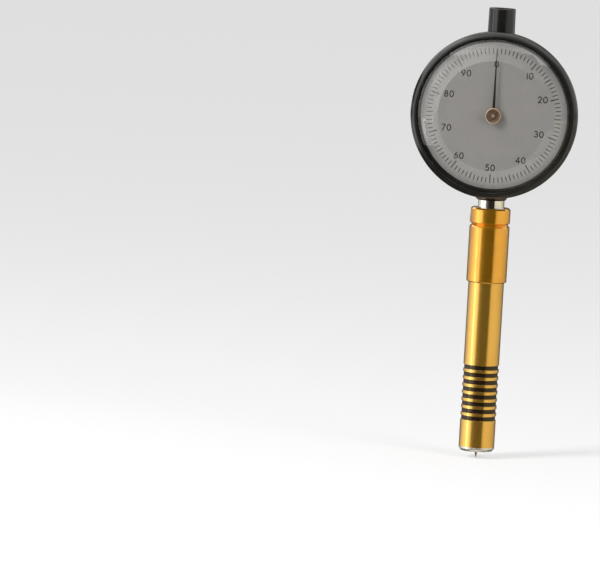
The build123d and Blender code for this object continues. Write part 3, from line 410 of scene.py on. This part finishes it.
def clear_crystal():
    """Clear acrylic that bends what is seen through it and lets the lamps light the dial."""
    finish = Finish("clear_crystal", (0.985, 0.985, 0.98), 0.0, 0.0)
    shader = finish.shader
    shader.inputs["Transmission Weight"].default_value = 1.0
    shader.inputs["IOR"].default_value = 1.49
    finish.vary_roughness(finish.noise((2.2, 2.2, 0.05), 2.0), 0.0, 0.004)
    finish.bump([(finish.noise((9.0, 9.0, 9.0), 1.0), 0.0012)])
    clear = finish.node("ShaderNodeBsdfTransparent")
    clear.inputs["Color"].default_value = (0.93, 0.93, 0.92, 1.0)
    path = finish.node("ShaderNodeLightPath")
    either = finish.node("ShaderNodeMath", operation="MAXIMUM")
    finish.link(path.outputs["Is Shadow Ray"], either.inputs[0])
    finish.link(path.outputs["Is Diffuse Ray"], either.inputs[1])
    choice = finish.node("ShaderNodeMixShader")
    finish.link(either.outputs["Value"], choice.inputs["Fac"])
    finish.link(shader.outputs["BSDF"], choice.inputs[1])
    finish.link(clear.outputs["BSDF"], choice.inputs[2])
    output = finish.tree.nodes["Material Output"]
    finish.link(choice.outputs["Shader"], output.inputs["Surface"])
    return finish.material


# Finishes that have a function each, of the same name; the others come from the tables above
OWN_RECIPES = (
    black_enamel, band_enamel, movement_brass, hub_brass, dial_silver, pointer_black, clear_crystal,
)
finishes = {make.__name__: make() for make in OWN_RECIPES}
finishes.update({slot: anodised(slot, *look) for slot, look in ANODISED.items()})
finishes.update({slot: machined(slot, *look) for slot, look in MACHINED.items()})


def dress_nodes():
    """Gives each solid the finish of the slot that its own material names."""
    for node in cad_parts.values():
        slot = node.data.materials[0].name.split(".")[0]
        node.data.materials[0] = finishes[slot]


# Springs


def spring_copy(name):
    """Piece of the spring's own shape that stands for its solid, which is hidden."""
    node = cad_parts[name]
    coil = bpy.data.objects.new(name + "_coil", node.data.copy())
    bpy.context.scene.collection.objects.link(coil)
    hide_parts(name)
    return coil


def flex_springs():
    """Copies of the main spring, on the frame's body, and of the return spring, in place of their
    solids.
    """
    coil = spring_copy("main_spring")
    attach(coil, "frame")
    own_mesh(coil)
    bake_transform(spring_copy("return_spring"))


# Dial print


def add_piece(name, mesh, slot, body):
    """New object on a body, with the finish of a slot."""
    mesh.materials.append(finishes[slot])
    piece = bpy.data.objects.new(name, mesh)
    bpy.context.scene.collection.objects.link(piece)
    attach(piece, body)


def on_dial(x, z, lift=0.0):
    """Point on the dial's face, from its centre."""
    return Vector((x, DIAL_Y - lift, DIAL_Z + z))


def mesh_of(bm, name):
    """Mesh with its faces turned outwards, made from a bmesh, which is freed."""
    bmesh.ops.recalc_face_normals(bm, faces=bm.faces)
    mesh = bpy.data.meshes.new(name)
    bm.to_mesh(mesh)
    bm.free()
    return mesh


def add_prism(bm, outline):
    """Flat inked shape on the dial, from its outline."""
    low = [bm.verts.new(on_dial(x, z)) for x, z in outline]
    top = [bm.verts.new(on_dial(x, z, INK_THICKNESS)) for x, z in outline]
    bm.faces.new(low)
    bm.faces.new(top)
    for n in range(len(outline)):
        bm.faces.new((low[n - 1], low[n], top[n], top[n - 1]))


def tick_mesh(name):
    """Hundred divisions round the dial, longer at each five and each ten."""
    bm = bmesh.new()
    for number in range(DIVISIONS):
        inner, width = TICK_MINOR, TICK_WIDTH
        if number % 10 == 0:
            inner, width = TICK_TEN, TICK_TEN_WIDTH
        elif number % 5 == 0:
            inner, width = TICK_FIVE, TICK_FIVE_WIDTH
        turn = 2 * math.pi * number / DIVISIONS
        along = Vector((math.sin(turn), math.cos(turn)))
        side = Vector((along.y, -along.x)) * width / 2
        start, end = along * inner, along * TICK_OUTER
        add_prism(bm, [start - side, start + side, end + side, end - side])
    return mesh_of(bm, name)


def arc(x, z, rx, rz, start, end, steps):
    """Points on an ellipse about (x, z), from one angle in degrees to another."""
    turns = [math.radians(start + (end - start) * n / steps) for n in range(steps + 1)]
    return [(x + rx * math.cos(t), z + rz * math.sin(t)) for t in turns]


# Strokes of the plain numerals, one unit high: each digit has its width and its lines, as (x, z).
DIGITS = {
    "0": (0.62, [arc(0.31, 0.50, 0.31, 0.50, 90, 450, 36)]),
    "1": (0.00, [[(0.0, 0.0), (0.0, 1.0)]]),
    "2": (0.56, [arc(0.28, 0.72, 0.27, 0.28, 170, -35, 16) + [(0.02, 0.0), (0.57, 0.0)]]),
    "3": (
        0.54,
        [arc(0.26, 0.76, 0.24, 0.24, 150, -90, 18), arc(0.26, 0.26, 0.28, 0.26, 90, -150, 18)],
    ),
    "4": (0.62, [[(0.48, 0.0), (0.48, 1.0), (0.0, 0.26), (0.64, 0.26)]]),
    "5": (
        0.56,
        [[(0.52, 1.0), (0.14, 1.0), (0.07, 0.58)] + arc(0.25, 0.32, 0.30, 0.32, 118, -140, 20)],
    ),
    "6": (0.60, [arc(0.30, 0.31, 0.30, 0.31, 0, 360, 30), [(0.05, 0.48), (0.38, 1.0)]]),
    "7": (0.56, [[(0.0, 1.0), (0.56, 1.0), (0.14, 0.0)]]),
    "8": (0.56, [arc(0.28, 0.76, 0.22, 0.24, 0, 360, 26), arc(0.28, 0.26, 0.28, 0.26, 0, 360, 30)]),
    "9": (0.60, [arc(0.30, 0.69, 0.30, 0.31, 0, 360, 30), [(0.55, 0.52), (0.22, 0.0)]]),
}


MITRE_LIMIT = 0.45  # least cosine of half a corner's turn that a mitre follows
CLOSED_WITHIN = 0.01  # a line whose ends are this share of half a stroke apart is a loop
CAP_STEPS = 6


def offset_sides(line, half, closed):
    """Points to the left and right of a line, mitred at its corners."""
    count = len(line)
    left, right = [], []
    for n, point in enumerate(line):
        before = line[n - 1] if n or closed else point
        after = line[(n + 1) % count] if n < count - 1 or closed else point
        entry = (Vector(point) - Vector(before)).normalized() if before != point else None
        leave = (Vector(after) - Vector(point)).normalized() if after != point else None
        entry = entry or leave
        leave = leave or entry
        middle = (entry + leave).normalized()
        reach = half / max(MITRE_LIMIT, middle.dot(leave))
        normal = Vector((-middle.y, middle.x)) * reach
        left.append(Vector(point) + normal)
        right.append(Vector(point) - normal)
    return left, right


def cap_points(end, direction, half):
    """Half circle round the end of a stroke, from its left side to its right."""
    start = math.atan2(direction.y, direction.x) + math.pi / 2
    turns = [start - math.pi * n / CAP_STEPS for n in range(1, CAP_STEPS)]
    return [Vector(end) + Vector((math.cos(t), math.sin(t))) * half for t in turns]


def add_stroke(bm, line, half, thickness):
    """Inked stroke with round ends, or a closed loop where the line meets itself."""
    closed = (Vector(line[0]) - Vector(line[-1])).length < half * CLOSED_WITHIN
    if closed:
        line = line[:-1]
    left, right = offset_sides(line, half, closed)

    def verts(points, lift):
        return [bm.verts.new(on_dial(p.x, p.y, lift)) for p in points]

    low_left, low_right = verts(left, 0.0), verts(right, 0.0)
    top_left, top_right = verts(left, thickness), verts(right, thickness)
    last = len(line) if closed else len(line) - 1
    for n in range(last):
        m = (n + 1) % len(line)
        bm.faces.new((top_left[n], top_right[n], top_right[m], top_left[m]))
        bm.faces.new((low_left[n], low_left[m], low_right[m], low_right[n]))
        bm.faces.new((low_left[n], top_left[n], top_left[m], low_left[m]))
        bm.faces.new((low_right[n], low_right[m], top_right[m], top_right[n]))
    if closed:
        return
    ends = (
        (line[-1], line[-2], (low_left[-1], top_left[-1]), (low_right[-1], top_right[-1])),
        (line[0], line[1], (low_right[0], top_right[0]), (low_left[0], top_left[0])),
    )
    for end, inside, first, second in ends:
        points = cap_points(end, Vector(end) - Vector(inside), half)
        low_run = [first[0], *verts(points, 0.0), second[0]]
        top_run = [first[1], *verts(points, thickness), second[1]]
        bm.faces.new(top_run)
        bm.faces.new(low_run[::-1])
        for n in range(len(low_run) - 1):
            bm.faces.new((low_run[n], low_run[n + 1], top_run[n + 1], top_run[n]))


def number_mesh(name):
    """The ten plain numbers 0 to 90, upright round the dial."""
    bm = bmesh.new()
    half = DIGIT_STROKE / 2
    scale = DIGIT_HEIGHT - DIGIT_STROKE
    for tens, (across, up) in enumerate(NUMBER_PLACES_MM):
        text = str(10 * tens)
        widths = [DIGITS[digit][0] * scale + DIGIT_STROKE for digit in text]
        total = sum(widths) + DIGIT_GAP * (len(text) - 1)
        x = across * MM - total / 2 + half
        z = up * MM - scale / 2
        for digit, width in zip(text, widths):
            for level, line in enumerate(DIGITS[digit][1]):
                moved = [(x + px * scale, z + pz * scale) for px, pz in line]
                add_stroke(bm, moved, half, INK_THICKNESS + level * INK_STEP)
            x += width + DIGIT_GAP
    return mesh_of(bm, name)


def print_dial():
    for name, make in (("dial_divisions", tick_mesh), ("dial_numbers", number_mesh)):
        add_piece(name, make(name), "pointer_black", "bezel_assembly")


# Studio


def stage_material(name, build):
    """Plain material whose surface shader is made by build(tree)."""
    material = bpy.data.materials.new(name)
    material.use_nodes = True
    tree = material.node_tree
    tree.nodes.remove(tree.nodes["Principled BSDF"])
    tree.links.new(build(tree), tree.nodes["Material Output"].inputs["Surface"])
    return material


def floor_shader(tree):
    """Matt pale floor that the camera sees part as even white, so that a soft shadow stays."""
    matt = tree.nodes.new("ShaderNodeBsdfDiffuse")
    matt.inputs["Color"].default_value = (FLOOR_PALE, FLOOR_PALE, FLOOR_PALE, 1.0)
    white = tree.nodes.new("ShaderNodeEmission")
    path = tree.nodes.new("ShaderNodeLightPath")
    share = tree.nodes.new("ShaderNodeMath")
    share.operation = "MULTIPLY"
    share.inputs[1].default_value = FLOOR_GLOW
    tree.links.new(path.outputs["Is Camera Ray"], share.inputs[0])
    mixer = tree.nodes.new("ShaderNodeMixShader")
    tree.links.new(share.outputs["Value"], mixer.inputs["Fac"])
    tree.links.new(matt.outputs["BSDF"], mixer.inputs[1])
    tree.links.new(white.outputs["Emission"], mixer.inputs[2])
    return mixer.outputs["Shader"]


def make_floor():
    bm = bmesh.new()
    bmesh.ops.create_circle(bm, cap_ends=True, segments=FLOOR_SIDES, radius=FLOOR_RADIUS)
    mesh = bpy.data.meshes.new("floor")
    bm.to_mesh(mesh)
    bm.free()
    floor = bpy.data.objects.new("floor", mesh)
    floor.location = (0.0, 0.0, FOOT_TIP_Z - FLOOR_GAP)
    mesh.materials.append(stage_material("floor", floor_shader))
    bpy.context.scene.collection.objects.link(floor)
    floor.visible_glossy = False


# Cards round the object that only shine in polished surfaces. Each has a name, a tint, and columns
# of azimuth in degrees from -Y towards +X, lowest and highest point in metres from the dial's
# height, and light, with the light at the highest point last where it differs; the light runs
# evenly from column to column.
COOL = (1.00, 0.99, 0.96)
WARM = (1.00, 0.92, 0.70)
SHADE = (1.00, 0.85, 0.70)
CARDS = (
    (
        "front",
        SHADE,
        (
            (-34, -0.60, -0.01, 0.22), (-32, -0.60, 0.02, 0.21), (-27, -0.60, 0.09, 0.16),
            (-20, -0.60, 0.19, 0.10), (-13, -0.60, 0.23, 0.06), (-4, -0.60, 0.25, 0.02),
            (38, -0.60, 0.25, 0.03),
        ),
    ),
    (
        "softbox",
        COOL,
        (
            (38, 0.25, 0.85, 0.30), (12, 0.25, 0.85, 0.35), (-4, 0.25, 0.85, 0.75),
            (-13, 0.23, 0.60, 1.15), (-20, 0.19, 0.60, 1.40), (-27, 0.09, 0.60, 1.46),
            (-32, 0.02, 0.60, 1.46),
        ),
    ),
    (
        "softbox_low",
        COOL,
        (
            (-32, 0.02, 0.10, 1.46), (-40, -0.06, 0.10, 1.46), (-44, -0.20, 0.10, 1.46),
            (-50, -0.32, 0.10, 1.46), (-56, -0.34, 0.10, 1.46), (-62, -0.36, 0.10, 1.25),
        ),
    ),
    (
        "softbox_rise",
        COOL,
        (
            (-32, 0.10, 0.22, 1.46, 1.46), (-42, 0.10, 0.22, 1.46, 1.50),
            (-48, 0.10, 0.22, 1.46, 2.30), (-56, 0.10, 0.22, 1.46, 2.50),
            (-62, 0.10, 0.22, 1.25, 2.20),
        ),
    ),
    (
        "softbox_high",
        COOL,
        (
            (-32, 0.22, 0.60, 1.46, 1.46), (-42, 0.22, 0.60, 1.50, 1.35),
            (-48, 0.22, 0.60, 2.30, 1.40), (-56, 0.22, 0.60, 2.50, 1.46),
            (-62, 0.22, 0.60, 2.20, 1.46),
        ),
    ),
    (
        "left_low",
        COOL,
        (
            (-34, -0.36, -0.015, 0.35), (-38, -0.36, -0.05, 0.70), (-40, -0.36, -0.06, 0.80),
            (-44, -0.36, -0.20, 0.90), (-50, -0.36, -0.32, 0.90),
        ),
    ),
    ("strip", COOL, ((-62, -0.20, -0.10, 5.2, 3.2), (-68, -0.20, -0.10, 5.2, 3.2))),
    ("strip_foot", COOL, ((-62, -0.36, -0.20, 1.8, 5.2), (-68, -0.36, -0.20, 1.8, 5.2))),
    ("side_low", COOL, ((-68, -0.36, -0.10, 1.46), (-84, -0.36, -0.10, 1.35))),
    (
        "side_middle",
        COOL,
        (
            (-62, -0.10, 0.25, 1.25), (-70, -0.10, 0.25, 1.20), (-75, -0.10, 0.25, 2.40),
            (-80, -0.10, 0.25, 2.40),
        ),
    ),
    (
        "side_high",
        COOL,
        (
            (-62, 0.25, 0.60, 1.46), (-84, 0.25, 0.60, 2.20), (-110, 0.25, 0.60, 2.20),
            (-150, 0.25, 0.60, 1.00),
        ),
    ),
    (
        "wall_low",
        COOL,
        ((-84, -0.36, -0.085, 1.35), (-110, -0.36, -0.085, 0.80), (-140, -0.36, -0.085, 0.20)),
    ),
    ("wall_dark", SHADE, ((-80, -0.085, -0.045, 0.02), (-175, -0.085, -0.045, 0.02))),
    (
        "wall_cap",
        COOL,
        ((-80, -0.045, 0.02, 0.90), (-110, -0.045, 0.02, 0.70), (-160, -0.045, 0.02, 0.50)),
    ),
    ("wall_top", SHADE, ((-80, 0.02, 0.25, 0.02), (-175, 0.02, 0.25, 0.02))),
    ("left_back", SHADE, ((-140, -0.60, -0.10, 0.15), (-175, -0.60, -0.10, 0.12))),
    (
        "canopy",
        COOL,
        (
            (-150, 0.60, 1.20, 1.00), (-110, 0.60, 1.20, 2.60), (-62, 0.60, 1.20, 3.60),
            (-35, 0.60, 1.20, 2.10), (-13, 0.60, 1.20, 1.45), (-4, 0.85, 1.20, 1.10),
            (10, 0.85, 1.20, 1.20), (38, 0.85, 1.20, 2.20), (42, 0.60, 1.20, 2.20),
            (60, 0.60, 1.20, 1.60), (150, 0.60, 1.20, 0.90),
        ),
    ),
    (
        "right_low",
        WARM,
        (
            (38, -0.36, -0.09, 0.70), (60, -0.36, -0.09, 0.87), (90, -0.36, -0.09, 0.80),
            (124, -0.36, -0.09, 0.55), (150, -0.36, -0.09, 0.20),
        ),
    ),
    (
        "right_middle",
        WARM,
        (
            (38, -0.09, -0.04, 0.75), (60, -0.09, -0.04, 1.05), (96, -0.09, -0.04, 1.10),
            (124, -0.09, -0.04, 0.90), (150, -0.09, -0.04, 0.50),
        ),
    ),
    (
        "right_cap",
        COOL,
        (
            (38, -0.04, 0.02, 0.40), (63, -0.04, 0.02, 0.62), (90, -0.04, 0.02, 0.60),
            (124, -0.04, 0.02, 0.65), (150, -0.04, 0.02, 0.87),
        ),
    ),
    (
        "right_high",
        COOL,
        (
            (38, 0.02, 0.60, 0.20), (52, 0.02, 0.60, 0.45), (62, 0.02, 0.60, 0.95),
            (150, 0.02, 0.60, 0.95),
        ),
    ),
    ("right_back", SHADE, ((150, -0.60, 0.60, 0.15), (186, -0.60, 0.60, 0.12))),
)
CEILING_HEIGHT = 1.20
CEILING_LEVEL = 1.5
CEILING_SIDES = 48
CARD_STEP = 3.0  # degrees between a card's edges


def ring_point(azimuth, reach, height):
    """Point at an azimuth in degrees, a reach from the axis and a height from the dial's middle."""
    turn = math.radians(azimuth)
    return (reach * math.sin(turn), -reach * math.cos(turn), DIAL_Z + height)


def glow_at(level, tint):
    return [level * share for share in tint]


def card_levels(columns):
    """Columns at small steps between those of a card."""
    fine = []
    for here, there in zip(columns, columns[1:]):
        steps = max(1, math.ceil(abs(there[0] - here[0]) / CARD_STEP))
        fine += [[a + (b - a) * n / steps for a, b in zip(here, there)] for n in range(steps)]
    return fine + [list(columns[-1])]


def card_shader(tree):
    """Glow whose level each corner of the card carries."""
    glow = tree.nodes.new("ShaderNodeEmission")
    level = tree.nodes.new("ShaderNodeAttribute")
    level.attribute_name = "glow"
    tree.links.new(level.outputs["Color"], glow.inputs["Color"])
    return glow.outputs["Emission"]


def stage_card(name, points, faces, glows):
    """Card that only reflections see, with a glow at each point."""
    mesh = bpy.data.meshes.new(name)
    mesh.from_pydata(points, [], faces)
    colours = mesh.color_attributes.new("glow", "FLOAT_COLOR", "POINT")
    for number, glow in enumerate(glows):
        colours.data[number].color = (*glow, 1.0)
    mesh.materials.append(stage_material(name, card_shader))
    card = bpy.data.objects.new(name, mesh)
    bpy.context.scene.collection.objects.link(card)
    card.visible_camera = False
    card.visible_diffuse = False
    card.visible_shadow = False
    card.visible_volume_scatter = False


def make_card(name, tint, columns):
    """Curved upright card round the object."""
    points, faces, glows = [], [], []
    for number, (azimuth, low, high, *levels) in enumerate(card_levels(columns)):
        for height, level in ((low, levels[0]), (high, levels[-1])):
            points.append(ring_point(azimuth, CARD_RADIUS, height))
            glows.append(glow_at(level, tint))
        if number:
            n = 2 * number
            faces.append((n - 2, n, n + 1, n - 1))
    stage_card("card_" + name, points, faces, glows)


# Disc below, in place of the floor, which polished surfaces don't see. Each ring has its reach from
# the axis and its light away from and at LOW_BRIGHT_AZIMUTH: pale in the middle, dark round it, and
# lighter again towards the right.
LOW_RINGS = ((0.0, 0.95, 0.95), (0.05, 0.80, 0.80), (0.11, 0.10, 0.60), (0.84, 0.05, 1.10))
LOW_DROP = -0.36
LOW_SIDES = 48
LOW_BRIGHT_AZIMUTH = 62


def make_low_card():
    points, glows = [(0.0, 0.0, DIAL_Z + LOW_DROP)], [glow_at(LOW_RINGS[0][1], COOL)]
    for reach, dark, bright in LOW_RINGS[1:]:
        for n in range(LOW_SIDES):
            azimuth = 360.0 * n / LOW_SIDES
            towards = max(0.0, math.cos(math.radians(azimuth - LOW_BRIGHT_AZIMUTH))) ** 2
            points.append(ring_point(azimuth, reach, LOW_DROP))
            glows.append(glow_at(dark + (bright - dark) * towards, WARM))
    faces = []
    for n in range(LOW_SIDES):
        m = (n + 1) % LOW_SIDES
        faces.append((0, 1 + n, 1 + m))
        for ring in range(len(LOW_RINGS) - 2):
            low, high = 1 + ring * LOW_SIDES, 1 + (ring + 1) * LOW_SIDES
            faces.append((low + n, high + n, high + m, low + m))
    stage_card("card_low", points, faces, glows)


def make_ceiling_card():
    """Even card above the ring of cards."""
    azimuths = [360.0 * n / CEILING_SIDES for n in range(CEILING_SIDES)]
    points = [ring_point(azimuth, CARD_RADIUS, CEILING_HEIGHT) for azimuth in azimuths]
    glow = glow_at(CEILING_LEVEL, COOL)
    stage_card("card_ceiling", points, [tuple(range(CEILING_SIDES))], [glow] * CEILING_SIDES)


def direction(azimuth, elevation):
    """Unit vector from the object, with azimuth 0 towards -Y and 90 towards +X."""
    a, e = math.radians(azimuth), math.radians(elevation)
    return Vector((math.sin(a) * math.cos(e), -math.cos(a) * math.cos(e), math.sin(e)))


# Lamps: name, azimuth and elevation in degrees, distance, size, and power in watts
LAMPS = (
    ("key", -46, 27, 0.90, 0.26, 9.0),
    ("fill", 52, 22, 1.00, 0.50, 5.0),
)


def make_lamp(name, azimuth, elevation, distance, size, power):
    """Soft square lamp aimed at the dial, unseen in polished surfaces."""
    light = bpy.data.lights.new(name, "AREA")
    light.shape = "SQUARE"
    light.size = size
    light.energy = power
    lamp = bpy.data.objects.new(name, light)
    aim = Vector((0.0, 0.0, DIAL_Z))
    away = direction(azimuth, elevation)
    lamp.location = aim + away * distance
    lamp.rotation_euler = away.to_track_quat("Z", "Y").to_euler()
    bpy.context.scene.collection.objects.link(lamp)
    lamp.visible_camera = False
    lamp.visible_glossy = False


def make_world():
    """White for the camera and in polished or clear surfaces, and a soft even fill on dull ones."""
    world = bpy.data.worlds.new("studio")
    bpy.context.scene.world = world
    world.use_nodes = True
    tree = world.node_tree
    background = tree.nodes["Background"]
    background.inputs["Color"].default_value = (1.0, 1.0, 1.0, 1.0)
    path = tree.nodes.new("ShaderNodeLightPath")
    seen = path.outputs["Is Camera Ray"]
    for name in ("Is Glossy Ray", "Is Transmission Ray"):
        either = tree.nodes.new("ShaderNodeMath")
        either.operation = "MAXIMUM"
        tree.links.new(seen, either.inputs[0])
        tree.links.new(path.outputs[name], either.inputs[1])
        seen = either.outputs["Value"]
    level = tree.nodes.new("ShaderNodeMapRange")
    level.inputs["To Min"].default_value = WORLD_FILL
    level.inputs["To Max"].default_value = 1.0
    tree.links.new(seen, level.inputs["Value"])
    tree.links.new(level.outputs["Result"], background.inputs["Strength"])


def make_camera():
    """Camera at the photograph's angle, turned so that the aim falls on its pixel."""
    back = direction(CAMERA_AZIMUTH, CAMERA_ELEVATION)
    aim = Vector((0.0, 0.0, AIM_HEIGHT))
    forward = -back
    right = forward.cross(Vector((0.0, 0.0, 1.0))).normalized()
    up = right.cross(forward)
    roll = math.radians(CAMERA_ROLL)
    right_rolled = math.cos(roll) * right + math.sin(roll) * up
    up_rolled = -math.sin(roll) * right + math.cos(roll) * up
    straight = Matrix((right_rolled, up_rolled, forward))
    focal_px = PIXELS_PER_MM / MM * CAMERA_DISTANCE
    across, above = AIM_PIXEL[0] - PHOTO_WIDTH / 2, PHOTO_HEIGHT / 2 - AIM_PIXEL[1]
    ahead = Vector((0.0, 0.0, 1.0))  # this and the ray are in the camera's own axes
    ray = Vector((across / focal_px, above / focal_px, 1.0))
    swing = ahead.rotation_difference(ray).to_matrix()
    axes = swing @ straight
    camera_data = bpy.data.cameras.new("camera")
    camera_data.sensor_fit = "HORIZONTAL"
    camera_data.sensor_width = SENSOR_WIDTH
    camera_data.lens = focal_px * SENSOR_WIDTH / PHOTO_WIDTH
    camera_data.clip_end = CAMERA_REACH
    camera = bpy.data.objects.new("camera", camera_data)
    turned = Matrix((axes[0], axes[1], -axes[2])).transposed()
    camera.matrix_world = Matrix.Translation(aim + back * CAMERA_DISTANCE) @ turned.to_4x4()
    bpy.context.scene.collection.objects.link(camera)
    bpy.context.scene.camera = camera


dress_nodes()
flex_springs()
print_dial()
make_floor()
for card in CARDS:
    make_card(*card)
make_low_card()
make_ceiling_card()
for lamp in LAMPS:
    make_lamp(*lamp)
make_world()
make_camera()

scene = bpy.context.scene
scene.view_settings.view_transform = "Standard"
